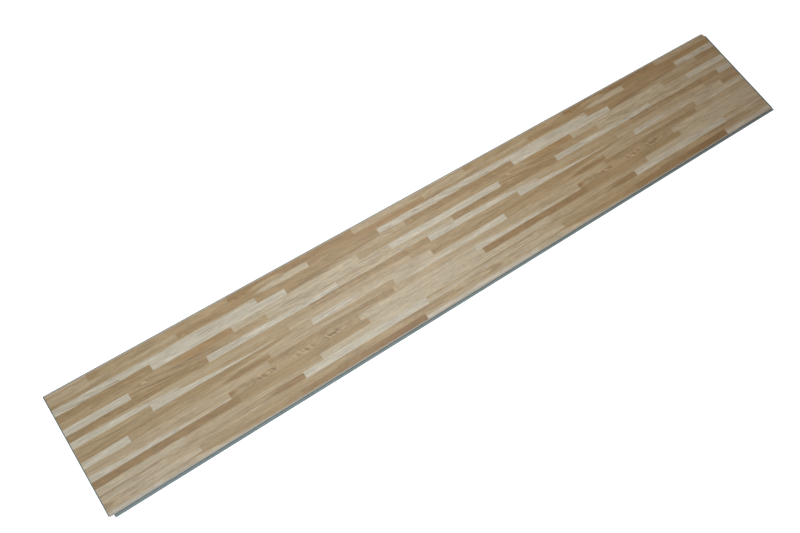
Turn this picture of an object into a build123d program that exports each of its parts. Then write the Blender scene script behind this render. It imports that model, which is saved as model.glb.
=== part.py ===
"""Vinyl click plank: one milled board, face up, with click edges on all four sides.

Frame: origin on the underside, below the centre of the face. X runs along the board, Y across it,
Z up through its thickness. The groove and its lip are on the front (-Y) and right (+X) edges, the tongue
and the recess below it are on the back (+Y) and left (-X) edges, so that like boards lock edge to edge.
"""

import os

from build123d import *

# Face, from face edge to face edge, and the board's thickness
face_length = 1220.0
face_width = 180.0
thickness = 4.2

# Bevel along the face's two long edges; its ends are square
bevel_width = 1.9
bevel_depth = 0.6

# Click profile, common to the long edges and the ends
lip_thickness = 1.25
tongue_thickness = 1.2
tongue_nose = 0.4
bead_ramp = 0.35
bead_round = 0.3
fit_play = 0.05

# Long edges: tongue at the back, groove and lip at the front
long_tongue = 1.4
long_lip = 3.9
long_bead_width = 1.5
long_bead_rise = 0.65
long_lip_gap = 1.0

# Ends: tongue on the left, groove and lip on the right
end_tongue = 1.55
end_lip = 4.8
end_bead_width = 1.8
end_bead_rise = 1.1
end_lip_gap = 0.3

# Heights in the profile, from the underside
slot_floor = lip_thickness
slot_top = slot_floor + tongue_thickness + 2 * fit_play
tongue_bottom = slot_floor + fit_play
tongue_top = tongue_bottom + tongue_thickness

# How far the underside is cut back from the face's edge to take the next board's lip
long_recess = long_lip + long_lip_gap
end_recess = end_lip + end_lip_gap


def click_section(plane, width, tongue, lip, bead_width, bead_rise, lip_gap):
    """The section of a board on a plane, with its lip on the plane's +X side and its tongue on the -X side."""
    half = width / 2
    slot_depth = tongue + fit_play
    bead_foot = lip - bead_width
    bead_top = slot_floor + bead_rise
    notch_foot = bead_foot - fit_play
    notch_top = bead_top + fit_play
    recess = lip + lip_gap
    lip_side = [
        (half, thickness),
        (half, slot_top),
        (half - slot_depth, slot_top),
        (half - slot_depth, slot_floor),
        (half + bead_foot, slot_floor),
        (half + bead_foot + bead_ramp, bead_top),
        (half + lip, bead_top),
        (half + lip, 0),
    ]
    tongue_side = [
        (-half + recess, 0),
        (-half + recess, notch_top),
        (-half + notch_foot + bead_ramp, notch_top),
        (-half + notch_foot, tongue_bottom),
        (-half - tongue, tongue_bottom),
        (-half - tongue, tongue_top),
        (-half, tongue_top),
        (-half, thickness),
    ]
    with BuildSketch(plane) as section:
        with BuildLine():
            Polyline(*lip_side, *tongue_side, close=True)
        make_face()
        tongue_tip = section.vertices().group_by(Axis.X)[0]
        fillet(tongue_tip, radius=tongue_nose)
        bead_nose = section.vertices().group_by(Axis.X)[-1].sort_by(Axis.Y)[-1]
        fillet(bead_nose, radius=bead_round)
    return section.sketch


# The long edges are milled the whole length of the board, then the ends across its whole width
board_length = face_length + 2 * (end_lip + end_tongue)
board_width = face_width + 2 * (long_lip + long_tongue)
long_section_plane = Plane(origin=(0, 0, 0), x_dir=(0, -1, 0), z_dir=(-1, 0, 0))

long_section = click_section(
    long_section_plane, face_width, long_tongue, long_lip, long_bead_width, long_bead_rise, long_lip_gap
)
end_section = click_section(
    Plane.XZ, face_length, end_tongue, end_lip, end_bead_width, end_bead_rise, end_lip_gap
)

with BuildPart() as plank:
    extrude(long_section, amount=board_length / 2, both=True)
    extrude(end_section, amount=board_width / 2, both=True, mode=Mode.INTERSECT)

    # Each lip stops where the recess of the edge beside it begins
    with BuildSketch(Plane.XY):
        with Locations((-face_length / 2 + end_recess, -face_width / 2)):
            Rectangle(end_recess + end_tongue, long_lip, align=(Align.MAX, Align.MAX))
        with Locations((face_length / 2, face_width / 2 - long_recess)):
            Rectangle(end_lip, long_recess + long_tongue, align=(Align.MIN, Align.MIN))
    extrude(amount=thickness, mode=Mode.SUBTRACT)

    face = plank.faces().sort_by(Axis.Z)[-1]
    long_edges = face.edges().filter_by(Axis.X)
    chamfer(long_edges, length=bevel_width, length2=bevel_depth, reference=face)

plank.part.label = "plank"
os.makedirs("parts", exist_ok=True)
export_step(plank.part, "parts/plank.step")
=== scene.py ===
"""Looks of the vinyl click plank: its stave print, its milled edges and its pressed underside."""
import math

import bmesh
import bpy
from mathutils import Matrix, Vector


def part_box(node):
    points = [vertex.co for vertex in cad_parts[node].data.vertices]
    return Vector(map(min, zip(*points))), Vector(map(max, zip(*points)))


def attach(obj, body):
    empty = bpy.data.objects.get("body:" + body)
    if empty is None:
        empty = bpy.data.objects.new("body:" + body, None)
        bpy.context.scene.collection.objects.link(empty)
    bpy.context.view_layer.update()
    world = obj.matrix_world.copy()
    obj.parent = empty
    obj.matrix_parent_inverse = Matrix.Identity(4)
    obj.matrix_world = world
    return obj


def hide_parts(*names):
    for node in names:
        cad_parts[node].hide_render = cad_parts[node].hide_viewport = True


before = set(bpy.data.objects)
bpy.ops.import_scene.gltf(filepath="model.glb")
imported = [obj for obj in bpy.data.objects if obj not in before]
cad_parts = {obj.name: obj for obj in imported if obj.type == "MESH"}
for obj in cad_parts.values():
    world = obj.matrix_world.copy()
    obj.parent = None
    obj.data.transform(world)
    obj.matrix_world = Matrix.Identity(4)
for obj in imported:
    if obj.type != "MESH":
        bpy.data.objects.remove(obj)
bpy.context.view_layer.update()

MM = 0.001
NODE = "plank"
PRINT, CORE, BACK = range(3)

# How closely points count as one or as level, and how closely a cut meets a point, in metres
TOLERANCE = 1e-6
CUT_TOLERANCE = 1e-7

# Faces that turn by less than this are joined before the print is cut
FLAT_ANGLE = math.radians(0.5)

# Sizes of the face and of the surfaces' details, in millimetres
FACE_LENGTH = 1220.0
FACE_WIDTH = 180.0
BEVEL_DEPTH = 0.6
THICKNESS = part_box(NODE)[1].z / MM
FILM = 0.4
FILM_FADE = 0.08
WEAVE = 1.1
PRINT_RELIEF = 0.03
CORE_RELIEF = 0.04
BACK_RELIEF = 0.03

# Sizes of the vinyl's clouds, specks and milling lines, in millimetres along the plank, across it and up
CORE_CLOUD_SIZE = (30.0, 30.0, 4.0)
CORE_SPECK_SIZE = (0.45, 0.45, 0.45)
MILLING_SIZE = (18.0, 18.0, 0.12)
BACK_CLOUD_SIZE = (60.0, 60.0, 60.0)
BACK_SPECK_SIZE = (0.6, 0.6, 0.6)

# A printed face is on a bevel where its normal points up by less than this
FLAT_FACES_UP = 0.99

# Stave print, in millimetres from the face's left end and its back edge. Each row repeats its three staves,
# and the print lies a little askew on the board: the rows run back by this much for each millimetre along it
STAVE_LENGTH = 207.94
STAVES_IN_REPEAT = 3
ROW_PITCH = 9.858
FIRST_ROW = 1.59
PRINT_SKEW = 0.0026

# What the seed of a stave's grain gains with each row and with each stave of the repeat
SEED_OF_ROW = 7.3
SEED_OF_STAVE = 2.9

# Wood tones as sRGB, 0 to 255
TONES = {
    "cream": (197, 188, 167),
    "ivory": (188, 173, 145),
    "sand": (180, 161, 129),
    "tan": (171, 149, 114),
    "oak": (162, 138, 101),
    "amber": (166, 137, 97),
    "brown": (154, 127, 90),
    "umber": (143, 115, 79),
}

# Other colours, as linear light
GRAIN_COLOUR = (0.19, 0.112, 0.05, 1.0)
KNOT_COLOUR = (0.16, 0.095, 0.045, 1.0)
BEVEL_COLOUR = (0.435, 0.405, 0.345, 1.0)
FILM_COLOUR = (0.36, 0.31, 0.23, 1.0)
CORE_COLOURS = (0.167, 0.212, 0.208, 1.0), (0.202, 0.251, 0.245, 1.0)
PALE_SPECK = (0.36, 0.39, 0.38, 1.0)
DARK_SPECK = (0.10, 0.125, 0.13, 1.0)
BACK_COLOURS = (0.19, 0.232, 0.235, 1.0), (0.225, 0.27, 0.27, 1.0)
BACK_SPECK = (0.33, 0.36, 0.355, 1.0)
WEAVE_COLOUR = (0.08, 0.1, 0.105, 1.0)
FLOOR_COLOUR = (0.8, 0.8, 0.8, 1.0)
SURROUND = (0.168, 0.108, 0.062, 1.0)
WHITE = (1.0, 1.0, 1.0, 1.0)

# Kinds of grain: features in a millimetre along and across the stave, then the noise's detail and roughness
GRAIN = {
    "sway": (0.012, 0.05, 3.0, 0.5),
    "broad": (0.02, 0.35, 2.0, 0.5),
    "thread": (0.02, 1.0, 1.0, 0.5),
    "fleck": (0.1, 0.8, 3.0, 0.6),
    "fibre": (0.06, 2.6, 3.0, 0.65),
    "pore": (0.04, 1.1, 1.0, 0.5),
    "fine_pore": (0.16, 3.0, 1.0, 0.5),
}

# In millimetres: the widest range over which the grain sways and a border wavers, and a border's half fade
SWAY = 6.0
WAVER = 3.0
BORDER_FADE = 1.6

# A patch's edge wavers by this share of a border's
PATCH_WAVER = 0.7

# A knot's length over its width, and how many growth rings it pushes aside
KNOT_STRETCH = 4.5
KNOT_PUSH = 2.5

# Features in a millimetre: of a knot's strokes, on the slant and across, and of growth lines along a stave
CURL_SLANT = 0.3
CURL_ACROSS = 0.1
LINE_DRIFT = 0.01

# How strongly the wear layer mirrors
PRINT_SHEEN = 0.22

# How much of the wood's tone each mark covers where it is strongest
LINE_COVER = 0.45
PORE_COVER = 0.4
FINE_PORE_COVER = 0.35
KNOT_COVER = 0.28
BEVEL_COVER = 0.85


def sawn(pith, ring, lines, pores, slope=0.0):
    """How a stave was sawn.

    pith is the log's pith: across from and below the stave's middle, in millimetres, and its tilt along it.
    ring is a growth ring's width in millimetres, lines and pores are strengths, slope is the grain's fall.
    """
    return {"pith": pith, "ring": ring, "lines": lines, "pores": pores, "slope": slope}


FIGURES = {
    "plain": sawn((70.0, 40.0, 0.02), 2.2, 0.35, 0.5),
    "fine": sawn((60.0, 30.0, -0.03), 1.1, 0.45, 0.7),
    "lined": sawn((45.0, 30.0, 0.05), 2.0, 0.9, 0.9),
    "falling": sawn((40.0, 35.0, 0.04), 2.2, 1.2, 1.0, 0.055),
    "rising": sawn((40.0, 35.0, 0.04), 2.0, 1.0, 0.9, -0.045),
    "dashed": sawn((50.0, 40.0, -0.05), 1.6, 0.6, 1.8, 0.02),
    "flecked": sawn((50.0, 40.0, -0.05), 1.6, 0.5, 0.9, 0.02),
    "cathedral": sawn((1.0, 3.0, 0.05), 2.4, 1.1, 0.6),
    "knotty": sawn((0.0, 6.0, 0.03), 3.0, 1.4, 1.0),
}

NO_BORDER = (-9.0, -9.0)
MOST_KNOTS = 3
NO_KNOT = (-1000.0, 0.0, 1.0)
NO_PATCH = (-1000.0, 0.0, 1.0, 1.0)


def stave(tone, figure, second=None, border=NO_BORDER, patch=NO_PATCH, patch_tone=None, knots=()):
    """One stave of the print, in millimetres along it from its left end and back from its middle.

    The second tone lies in front of a border, given by its place across at the left and at the right end.
    A patch is an oval of another tone: its middle along and across, then half its length and half its width.
    Each knot is its middle along and across, and its radius.
    """
    spare = [NO_KNOT] * (MOST_KNOTS - len(knots))
    return {
        "tone": tone,
        "figure": FIGURES[figure],
        "second": second or tone,
        "border": border,
        "patch": patch,
        "patch_tone": patch_tone or tone,
        "knots": [*knots, *spare],
    }


# For each row from the back edge: where its first joint lies, then the stave that ends there and the next two
ROWS = [
    (56.0,
     stave("sand", "lined"),
     stave("tan", "lined", patch=(4, 2, 14, 5), patch_tone="oak"),
     stave("brown", "cathedral", patch=(60, -7, 30, 8), patch_tone="tan",
           knots=[(6, -3.5, 1.2), (20, -3, 1.6)])),
    (181.0,
     stave("sand", "rising", "tan", (0, 0)),
     stave("oak", "fine", patch=(182, -0.5, 58, 5.2), patch_tone="ivory", knots=[(14, -1.5, 1.6)]),
     stave("amber", "lined", "oak", (4, -9))),
    (89.5,
     stave("cream", "falling"),
     stave("ivory", "fine", "cream", (4, 0)),
     stave("oak", "plain")),
    (132.0,
     stave("oak", "dashed"),
     stave("cream", "plain"),
     stave("oak", "falling", "sand", (-5, 6))),
    (40.5,
     stave("tan", "plain"),
     stave("tan", "lined", patch=(175, 0, 60, 5), patch_tone="amber", knots=[(76.5, -2.5, 2)]),
     stave("ivory", "fine")),
    (90.5,
     stave("cream", "plain"),
     stave("tan", "falling"),
     stave("ivory", "falling")),
    (199.5,
     stave("oak", "dashed"),
     stave("ivory", "lined", "cream", (3, 1)),
     stave("sand", "lined", "ivory", (2, 2))),
    (148.5,
     stave("sand", "fine", "cream", (8, -2)),
     stave("tan", "plain", "sand", (5, -7)),
     stave("oak", "dashed", "tan", (5, -7), patch=(28, 4.4, 40, 1.4), patch_tone="umber")),
    (106.5,
     stave("tan", "plain"),
     stave("tan", "fine", "cream", (5, -6)),
     stave("sand", "plain")),
    (139.0,
     stave("tan", "lined", "oak", (0, 0)),
     stave("oak", "plain", "sand", (-9, 5)),
     stave("ivory", "lined", patch=(10, 0.5, 60, 5), patch_tone="cream")),
    (64.5,
     stave("ivory", "plain", "cream", (-6, 5)),
     stave("tan", "fine", patch=(174, -0.7, 38, 3.8), patch_tone="brown"),
     stave("tan", "fine", "sand", (7, -6))),
    (57.0,
     stave("sand", "fine"),
     stave("sand", "fine"),
     stave("oak", "dashed", "tan", (0, -2))),
    (199.0,
     stave("sand", "fine", "cream", (4, -4)),
     stave("tan", "knotty", patch=(4, 1.5, 8, 2.6), patch_tone="amber",
           knots=[(59, 0.5, 3.4), (118, 0.5, 3.4), (162, 1, 3.2)]),
     stave("ivory", "fine")),
    (208.5,
     stave("brown", "dashed"),
     stave("oak", "plain"),
     stave("ivory", "flecked")),
    (123.0,
     stave("ivory", "flecked"),
     stave("tan", "fine", "sand", (4, -2)),
     stave("ivory", "plain")),
    (89.5,
     stave("tan", "lined", "ivory", (2, 2)),
     stave("tan", "lined", "sand", (8, -5), patch=(194, 0, 38, 4), patch_tone="brown"),
     stave("cream", "plain")),
    (133.0,
     stave("sand", "cathedral", patch=(166, -1.5, 70, 3.2), patch_tone="ivory"),
     stave("tan", "fine"),
     stave("tan", "lined")),
    (74.0,
     stave("sand", "fine", "cream", (1, 1)),
     stave("oak", "lined", "ivory", (5, -6)),
     stave("brown", "lined", patch=(186, 0, 70, 6), patch_tone="umber")),
]

# Camera that matches the photograph, in millimetres
CAMERA_AT = (-527.2, -331.1, 1121.6 + THICKNESS)
CAMERA_AIM = (-108.9, 0.0, THICKNESS)
CAMERA_ROLL = math.radians(18.513)
CAMERA_LENS = 38.4
SENSOR_WIDTH = 36.0

# Soft lamps, in millimetres and watts: one above the left part, and one behind for a faint sheen on the face
NEAR_LAMP = {
    "at": (-450.0, -150.0, 1100.0),
    "aim": (-450.0, 0.0, 0.0),
    "power": 8.2,
    "colour": (0.775, 0.885, 1.0),
}
FAR_LAMP = {
    "at": (130.0, 260.0, 900.0),
    "aim": (-150.0, 0.0, 0.0),
    "power": 3.8,
    "colour": (0.95, 0.97, 1.0),
}
LAMP_SIZE = (450.0, 400.0)

# The floor: its reach to each side in metres, its roughness, and how far it is lifted to white where seen
FLOOR_REACH = 6.0
FLOOR_ROUGHNESS = 0.9
FLOOR_LIFT = 0.9


def linear(colour):
    """An sRGB colour, 0 to 255, as linear light."""
    shares = [c / 255 for c in colour]
    return [s / 12.92 if s <= 0.04045 else ((s + 0.055) / 1.055) ** 2.4 for s in shares]


class Nodes:
    """A node tree and short calls that add to it. A call's values are numbers, tuples or sockets."""

    def __init__(self, tree):
        self.tree = tree
        self.tree.nodes.clear()

    def add(self, kind, values=(), **settings):
        node = self.tree.nodes.new(kind)
        for key, setting in settings.items():
            setattr(node, key, setting)
        for key, value in dict(values).items():
            if isinstance(value, bpy.types.NodeSocket):
                self.tree.links.new(value, node.inputs[key])
            else:
                node.inputs[key].default_value = value
        return node

    def math(self, operation, *values):
        return self.add("ShaderNodeMath", enumerate(values), operation=operation).outputs[0]

    def seen(self):
        """1 for what the camera sees, straight or in a mirror or glass, and 0 for the light on things."""
        rays = self.add("ShaderNodeLightPath").outputs
        mirrored = self.math("MAXIMUM", rays["Is Glossy Ray"], rays["Is Transmission Ray"])
        return self.math("MAXIMUM", rays["Is Camera Ray"], mirrored)


class Shader(Nodes):
    """A material and the calls that draw its patterns."""

    def __init__(self, name):
        self.material = bpy.data.materials.new(name)
        self.material.use_nodes = True
        super().__init__(self.material.node_tree)

    def attribute(self, name):
        return self.add("ShaderNodeAttribute", attribute_name=name).outputs

    def parts(self, vector):
        return self.add("ShaderNodeSeparateXYZ", {0: vector}).outputs

    def vector(self, x, y, z):
        return self.add("ShaderNodeCombineXYZ", {0: x, 1: y, 2: z}).outputs[0]

    def noise(self, at, detail=2.0, roughness=0.5):
        values = {"Vector": at, "Scale": 1.0, "Detail": detail, "Roughness": roughness}
        return self.add("ShaderNodeTexNoise", values).outputs["Fac"]

    def step(self, value, low, high, to_low=0.0, to_high=1.0):
        """A smooth change from to_low at low to to_high at high."""
        values = {"Value": value, "From Min": low, "From Max": high, "To Min": to_low, "To Max": to_high}
        return self.add("ShaderNodeMapRange", values, interpolation_type="SMOOTHSTEP").outputs["Result"]

    def mix(self, share, first, second):
        return self.add("ShaderNodeMix", {0: share, 6: first, 7: second}, data_type="RGBA").outputs[2]

    def scale(self, colour, factor):
        return self.add("ShaderNodeVectorMath", {0: colour, "Scale": factor}, operation="SCALE").outputs[0]

    def oval(self, along, across, middle_along, middle_across, half_length, half_width):
        """How far out of an oval a point lies: 0 in its middle, 1 on its edge, growing as the square."""
        share_along = self.math("DIVIDE", self.math("SUBTRACT", along, middle_along), half_length)
        share_across = self.math("DIVIDE", self.math("SUBTRACT", across, middle_across), half_width)
        return self.math("ADD", self.math("POWER", share_along, 2.0), self.math("POWER", share_across, 2.0))

    def place(self, lengths):
        """The object's own coordinates, each divided by a length in millimetres."""
        axes = self.parts(self.add("ShaderNodeTexCoord").outputs["Object"])
        scaled = [self.math("MULTIPLY", axis, 1 / (length * MM)) for axis, length in zip(axes, lengths)]
        return self.vector(*scaled)

    def surface(self, colour, roughness, height=None, relief=0.0, **sockets):
        """The material's surface. Relief is the bump's depth in millimetres."""
        values = {"Base Color": colour, "Roughness": roughness}
        values.update({key.replace("_", " "): value for key, value in sockets.items()})
        if height is not None:
            bump = self.add("ShaderNodeBump", {"Height": height, "Distance": relief * MM, "Strength": 1.0})
            values["Normal"] = bump.outputs[0]
        shader = self.add("ShaderNodeBsdfPrincipled", values)
        self.add("ShaderNodeOutputMaterial", {"Surface": shader.outputs[0]})
        return self.material


def print_material():
    """Wood print under a matt wear layer, drawn from each stave's own tones, log, patch, knots and seed."""
    s = Shader("stave_print")
    along, across, _ = s.parts(s.add("ShaderNodeUVMap", uv_map="Grain").outputs[0])
    seed = s.attribute("seed")["Fac"]
    pith_across, pith_below, tilt = s.parts(s.attribute("log")["Vector"])
    ring_width, line_strength, pore_strength = s.parts(s.attribute("grain")["Vector"])
    border_left, border_right, slope = s.parts(s.attribute("border")["Vector"])

    def grain(kind, side):
        """Noise of one kind of grain, with the place across the grain that it follows."""
        per_mm_along, per_mm_across, detail, roughness = GRAIN[kind]
        at_along = s.math("MULTIPLY", along, per_mm_along)
        at_across = s.math("MULTIPLY", side, per_mm_across)
        return s.noise(s.vector(at_along, at_across, seed), detail, roughness)

    # The grain falls along the stave and sways a little
    bend = s.math("MULTIPLY", s.math("SUBTRACT", grain("sway", across), 0.5), SWAY)
    swayed = s.math("ADD", across, bend)
    fall = s.math("MULTIPLY", s.math("SUBTRACT", along, STAVE_LENGTH / 2), slope)
    flow = s.math("ADD", swayed, fall)

    # Each knot pushes the growth rings aside, and short curled strokes lie over and around it
    bulge = 0.0
    for number in range(MOST_KNOTS):
        knot_along, knot_across, knot_radius = s.parts(s.attribute(f"knot_{number}")["Vector"])
        knot_reach = s.math("MULTIPLY", knot_radius, KNOT_STRETCH)
        nearness = s.oval(along, across, knot_along, knot_across, knot_reach, knot_radius)
        bulge = s.math("ADD", bulge, s.math("EXPONENT", s.math("MULTIPLY", nearness, -1.0)))
    slant = s.math("MULTIPLY", s.math("ADD", along, across), CURL_SLANT)
    curl = s.noise(s.vector(slant, s.math("MULTIPLY", across, CURL_ACROSS), seed), 2.0)
    curl_level = s.math("MULTIPLY", s.step(bulge, 0.05, 0.5), s.step(curl, 0.35, 0.65, -0.26, 0.32))
    knot_mask = s.math("MULTIPLY", s.step(bulge, 0.4, 0.9), s.step(curl, 0.62, 0.45))

    # The growth rings are the distance to the pith
    side = s.math("SUBTRACT", flow, pith_across)
    depth = s.math("ADD", pith_below, s.math("MULTIPLY", along, tilt))
    radius = s.math("SQRT", s.math("ADD", s.math("MULTIPLY", side, side), s.math("MULTIPLY", depth, depth)))
    ring = s.math("ADD", s.math("DIVIDE", radius, ring_width), s.math("MULTIPLY", bulge, KNOT_PUSH))
    lines = s.noise(s.vector(ring, s.math("MULTIPLY", along, LINE_DRIFT), seed), 3.0, 0.6)
    line_mask = s.step(lines, 0.5, 0.66)

    # Broad bands, threads, flecks, fibres and pores run with the grain
    broad = grain("broad", flow)
    thread = grain("thread", flow)
    fleck = grain("fleck", flow)
    fibre = grain("fibre", flow)
    pore_mask = s.step(grain("pore", flow), 0.59, 0.66)
    fine_pore_mask = s.step(grain("fine_pore", flow), 0.6, 0.68)

    # The second tone lies in front of a wavering border, and the patch over both
    waver = s.math("MULTIPLY", s.math("SUBTRACT", fibre, 0.5), WAVER)
    share = s.math("DIVIDE", along, STAVE_LENGTH)
    run = s.math("MULTIPLY", s.math("SUBTRACT", border_right, border_left), share)
    beyond = s.math("SUBTRACT", s.math("ADD", swayed, waver), s.math("ADD", border_left, run))
    tone = s.attribute("tone")["Color"]
    tone = s.mix(s.step(beyond, -BORDER_FADE, BORDER_FADE), s.attribute("second_tone")["Color"], tone)
    patch_along, patch_across, patch_length = s.parts(s.attribute("patch")["Vector"])
    patch_width = s.attribute("patch_width")["Fac"]
    wavy = s.math("ADD", across, s.math("MULTIPLY", waver, PATCH_WAVER))
    from_patch = s.oval(along, wavy, patch_along, patch_across, patch_length, patch_width)
    tone = s.mix(s.step(from_patch, 1.35, 0.65), tone, s.attribute("patch_tone")["Color"])

    # The grain makes the tone paler and darker, and its lines, pores and knots lie dark on it
    level = s.math("ADD", s.step(broad, 0.25, 0.75, 0.94, 1.09), s.step(fibre, 0.2, 0.8, -0.09, 0.09))
    level = s.math("ADD", level, s.step(thread, 0.3, 0.7, -0.1, 0.1))
    level = s.math("ADD", level, s.step(fleck, 0.25, 0.75, -0.1, 0.1))
    wood = s.scale(tone, s.math("ADD", level, curl_level))
    marks = (
        (line_mask, line_strength, LINE_COVER),
        (pore_mask, pore_strength, PORE_COVER),
        (fine_pore_mask, pore_strength, FINE_PORE_COVER),
    )
    for mask, strength, cover in marks:
        wood = s.mix(s.math("MULTIPLY", mask, s.math("MULTIPLY", strength, cover)), wood, GRAIN_COLOUR)
    wood = s.mix(s.math("MULTIPLY", knot_mask, KNOT_COVER), wood, KNOT_COLOUR)

    # The bevels are paler, and show little of the print
    wood = s.mix(s.math("MULTIPLY", s.attribute("bevel")["Fac"], BEVEL_COVER), wood, BEVEL_COLOUR)

    height = s.math("SUBTRACT", s.math("MULTIPLY", fibre, 0.4), fine_pore_mask)
    roughness = s.step(fibre, 0.2, 0.8, 0.32, 0.38)
    return s.surface(wood, roughness, height, PRINT_RELIEF, Specular_IOR_Level=PRINT_SHEEN)


def core_material():
    """Blue-grey filled vinyl with mineral specks, the lines of the milling and the cut film at the top."""
    s = Shader("filled_vinyl")
    cloud = s.noise(s.place(CORE_CLOUD_SIZE), 3.0)
    speck = s.noise(s.place(CORE_SPECK_SIZE), 2.0)
    milled = s.noise(s.place(MILLING_SIZE), 3.0, 0.6)
    colour = s.mix(s.step(cloud, 0.25, 0.75), *CORE_COLOURS)
    colour = s.mix(s.step(speck, 0.62, 0.75, 0.0, 0.5), colour, PALE_SPECK)
    colour = s.mix(s.step(speck, 0.38, 0.25, 0.0, 0.5), colour, DARK_SPECK)
    up = s.parts(s.add("ShaderNodeTexCoord").outputs["Object"])[2]
    film_low = (THICKNESS - FILM) * MM
    film = s.step(up, film_low, film_low + FILM_FADE * MM)
    colour = s.mix(film, colour, FILM_COLOUR)
    height = s.math("ADD", milled, s.math("MULTIPLY", speck, 0.4))
    return s.surface(colour, s.step(milled, 0.2, 0.8, 0.5, 0.68), height, CORE_RELIEF)


def back_material():
    """Underside: the same vinyl, pressed smooth, with a fine weave from the press plate."""
    s = Shader("pressed_back")
    cloud = s.noise(s.place(BACK_CLOUD_SIZE), 3.0)
    speck = s.noise(s.place(BACK_SPECK_SIZE), 2.0)
    x, y, _ = s.parts(s.add("ShaderNodeTexCoord").outputs["Object"])
    turns = 2 * math.pi / (WEAVE * MM)
    warp = s.math("SINE", s.math("MULTIPLY", x, turns))
    weft = s.math("SINE", s.math("MULTIPLY", y, turns))
    weave = s.math("MULTIPLY", warp, weft)
    colour = s.mix(s.step(cloud, 0.3, 0.7), *BACK_COLOURS)
    colour = s.mix(s.step(speck, 0.6, 0.75, 0.0, 0.35), colour, BACK_SPECK)
    colour = s.mix(s.step(weave, -1.0, 1.0, 0.12, 0.0), colour, WEAVE_COLOUR)
    height = s.math("ADD", s.math("MULTIPLY", weave, 0.5), speck)
    return s.surface(colour, s.step(speck, 0.2, 0.8, 0.45, 0.6), height, BACK_RELIEF)


def add_object(name, data):
    """A new object in the scene."""
    thing = bpy.data.objects.new(name, data)
    bpy.context.scene.collection.objects.link(thing)
    return thing


def row_edge(number, x):
    """How far back a row's back edge lies at a place along the plank, as Y in millimetres."""
    return FACE_WIDTH / 2 - FIRST_ROW - number * ROW_PITCH + x * PRINT_SKEW


def find_stave(face):
    """The stave of a printed face: its row, its number in the repeat and where its left end lies."""
    x, y, _ = face.calc_center_median() / MM
    row = int((row_edge(0, x) - y) // ROW_PITCH)
    row = min(max(row, 0), len(ROWS) - 1)
    first_joint = ROWS[row][0] - FACE_LENGTH / 2
    count = math.floor((x - first_joint) / STAVE_LENGTH)
    return row, (count + 1) % STAVES_IN_REPEAT, first_joint + count * STAVE_LENGTH


def cut(mesh, faces, point, normal):
    """Cuts some of a mesh's faces along a plane and returns all of the pieces."""
    edges = {edge for face in faces for edge in face.edges}
    corners = {vert for face in faces for vert in face.verts}
    geometry = [*faces, *edges, *corners]
    result = bmesh.ops.bisect_plane(mesh, geom=geometry, plane_co=point, plane_no=normal, dist=CUT_TOLERANCE)
    return [part for part in result["geom"] if isinstance(part, bmesh.types.BMFace)]


def cut_staves(mesh):
    """Cuts the printed faces along the rows and joints of the staves."""
    low = (THICKNESS - BEVEL_DEPTH) * MM - TOLERANCE
    printed = [face for face in mesh.faces if all(vert.co.z > low for vert in face.verts)]
    for number in range(1, len(ROWS)):
        printed = cut(mesh, printed, (0, row_edge(number, 0) * MM, 0), (-PRINT_SKEW, 1, 0))
    finished = []
    for row, (joint, *_) in enumerate(ROWS):
        faces = [face for face in printed if find_stave(face)[0] == row]
        first = joint - FACE_LENGTH / 2
        for number in range(math.ceil(FACE_LENGTH / STAVE_LENGTH)):
            faces = cut(mesh, faces, ((first + number * STAVE_LENGTH) * MM, 0, 0), (1, 0, 0))
        finished += faces
    return finished


def paint_staves(mesh):
    """Gives each printed face its stave's values for the print, and grain coordinates in millimetres."""
    layers = mesh.faces.layers
    knots = [f"knot_{number}" for number in range(MOST_KNOTS)]
    colours = {name: layers.float_color.new(name) for name in ("tone", "second_tone", "patch_tone")}
    vectors = {name: layers.float_vector.new(name) for name in ("log", "grain", "border", "patch", *knots)}
    numbers = {name: layers.float.new(name) for name in ("patch_width", "seed", "bevel")}
    coordinates = mesh.loops.layers.uv.new("Grain")
    for face in mesh.faces:
        if face.material_index != PRINT:
            continue
        row, number, start = find_stave(face)
        here = ROWS[row][1 + number]
        figure = here["figure"]
        across, below, tilt = figure["pith"]
        mirrored = 1 if (row + number) % 2 else -1
        face[colours["tone"]] = (*linear(TONES[here["tone"]]), 1)
        face[colours["second_tone"]] = (*linear(TONES[here["second"]]), 1)
        face[colours["patch_tone"]] = (*linear(TONES[here["patch_tone"]]), 1)
        face[vectors["log"]] = (across * mirrored, below, tilt)
        face[vectors["grain"]] = (figure["ring"], figure["lines"], figure["pores"])
        face[vectors["border"]] = (*here["border"], figure["slope"])
        face[vectors["patch"]] = here["patch"][:3]
        face[numbers["patch_width"]] = here["patch"][3]
        for name, knot in zip(knots, here["knots"]):
            face[vectors[name]] = knot
        face[numbers["seed"]] = row * SEED_OF_ROW + number * SEED_OF_STAVE
        face[numbers["bevel"]] = face.normal.z < FLAT_FACES_UP
        for loop in face.loops:
            x, y, _ = loop.vert.co / MM
            loop[coordinates].uv = (x - start, y - row_edge(row + 0.5, x))


def make_plank():
    """The CAD plank's own shape, with its face cut into staves and a material on each kind of surface."""
    mesh = bmesh.new()
    mesh.from_mesh(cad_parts[NODE].data)
    bmesh.ops.remove_doubles(mesh, verts=mesh.verts, dist=TOLERANCE)
    bmesh.ops.dissolve_limit(mesh, angle_limit=FLAT_ANGLE, verts=mesh.verts, edges=mesh.edges)
    for face in mesh.faces:
        lies_flat = all(abs(vert.co.z) < TOLERANCE for vert in face.verts)
        face.material_index = BACK if lies_flat else CORE
    for face in cut_staves(mesh):
        face.material_index = PRINT
    paint_staves(mesh)
    data = bpy.data.meshes.new("printed_plank")
    mesh.to_mesh(data)
    mesh.free()
    for material in (print_material(), core_material(), back_material()):
        data.materials.append(material)
    plank = add_object("printed_plank", data)
    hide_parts(NODE)
    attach(plank, "root")


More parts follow.
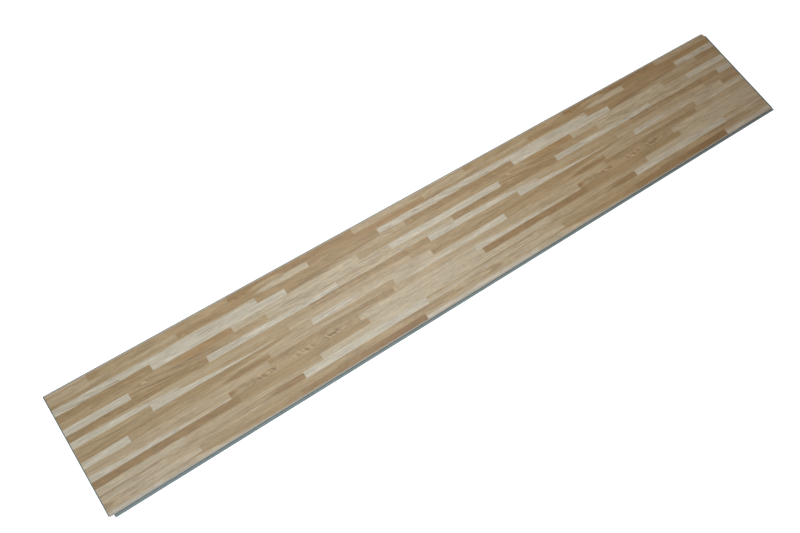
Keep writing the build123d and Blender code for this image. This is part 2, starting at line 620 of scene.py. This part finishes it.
def make_floor():
    """Plain pale floor. Where it is seen it is lifted to white, and it keeps the plank's shadow."""
    s = Shader("floor")
    lift = s.math("MULTIPLY", s.seen(), FLOOR_LIFT)
    material = s.surface(FLOOR_COLOUR, FLOOR_ROUGHNESS, Emission_Color=WHITE, Emission_Strength=lift)
    data = bpy.data.meshes.new("floor")
    sides = ((-1, -1), (1, -1), (1, 1), (-1, 1))
    corners = [(x * FLOOR_REACH, y * FLOOR_REACH, 0) for x, y in sides]
    data.from_pydata(corners, [], [(0, 1, 2, 3)])
    data.materials.append(material)
    floor = add_object("floor", data)


def make_lamp(name, at, aim, power, colour):
    """A soft rectangular lamp."""
    lamp = bpy.data.lights.new(name, "AREA")
    lamp.shape = "RECTANGLE"
    lamp.size = LAMP_SIZE[0] * MM
    lamp.size_y = LAMP_SIZE[1] * MM
    lamp.energy = power
    lamp.color = colour
    softbox = add_object(name, lamp)
    softbox.location = Vector(at) * MM
    softbox.rotation_euler = (Vector(aim) - Vector(at)).to_track_quat("-Z", "Y").to_euler()


def make_surround():
    """An even warm surround that is white where it is seen."""
    world = bpy.data.worlds.new("surround")
    world.use_nodes = True
    nodes = Nodes(world.node_tree)
    around = nodes.add("ShaderNodeBackground", {"Color": SURROUND})
    white = nodes.add("ShaderNodeBackground", {"Color": WHITE})
    both = nodes.add("ShaderNodeMixShader", {0: nodes.seen(), 1: around.outputs[0], 2: white.outputs[0]})
    nodes.add("ShaderNodeOutputWorld", {"Surface": both.outputs[0]})
    bpy.context.scene.world = world


def make_camera():
    """The photograph's camera, turned a little about its own line of sight."""
    data = bpy.data.cameras.new("camera")
    data.sensor_fit = "HORIZONTAL"
    data.sensor_width = SENSOR_WIDTH
    data.lens = CAMERA_LENS
    at = Vector(CAMERA_AT) * MM
    aim = Vector(CAMERA_AIM) * MM
    turn = (aim - at).to_track_quat("-Z", "Y").to_matrix() @ Matrix.Rotation(CAMERA_ROLL, 3, "Z")
    camera = add_object("camera", data)
    camera.matrix_world = Matrix.Translation(at) @ turn.to_4x4()
    bpy.context.scene.camera = camera


make_plank()
make_floor()
make_lamp("near_softbox", **NEAR_LAMP)
make_lamp("far_softbox", **FAR_LAMP)
make_surround()
make_camera()
bpy.context.scene.view_settings.view_transform = "Standard"
